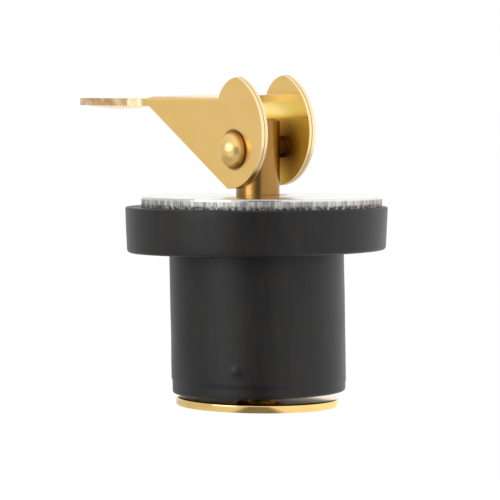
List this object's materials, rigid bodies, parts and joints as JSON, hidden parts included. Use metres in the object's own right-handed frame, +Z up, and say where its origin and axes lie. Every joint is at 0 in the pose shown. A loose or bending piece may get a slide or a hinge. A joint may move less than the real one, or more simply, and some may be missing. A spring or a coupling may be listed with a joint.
{
  "type": "drain plug for boat",
  "caption": "Expanding rubber drain plug with a flange, a washer, a threaded stem and a snap lever that draws up a brass disc to squeeze the barrel.",
  "frame": {"origin": "on the stem's axis, in the plane of the flange's underside, which seats on the hull or drain tube", "axes": "+Z up along the stem, out of the drain; -X along the released lever towards its thumb tab; Y along the pivot"},
  "size_m": [0.0601, 0.038, 0.0478],
  "materials": {
    "rubber": "matte moulded",
    "zinc_steel": "bright zinc plate",
    "rod_brass": "drawn and turned",
    "sheet_brass": "polished"
  },
  "bodies": {
    "plug": {"rubber_plug": "rubber"},
    "washer": {"top_washer": "zinc_steel"},
    "stem": {"stem": "rod_brass"},
    "lever": {"lever": "sheet_brass", "pivot_rivet": "rod_brass"},
    "bottom_plate": {"bottom_plate": "sheet_brass"}
  },
  "joints": [
    {"name": "swivel", "type": "hinge", "parent": "plug", "child": "washer", "pos_m": [0, 0, 0], "axis": [0, 0, 1], "continuous": true},
    {"name": "stem_lift", "type": "slide", "parent": "washer", "child": "stem", "axis": [0, 0, 1], "range_m": [0, 0.0041]},
    {"name": "lever_flip", "type": "hinge", "parent": "stem", "child": "lever", "pos_m": [0, 0.00055, 0.01489], "axis": [0, 1, 0], "range_deg": [0, 180]},
    {"name": "plate_lift", "type": "slide", "parent": "plug", "child": "bottom_plate", "axis": [0, 0, 1], "range_m": [0, 0.0041], "deforming": ["rubber_plug"]}
  ],
  "couplings": [
    {"joint": "stem_lift", "follows": "lever_flip", "m_per_rad": 0.0013},
    {"joint": "plate_lift", "follows": "lever_flip", "m_per_rad": 0.0013}
  ]
}
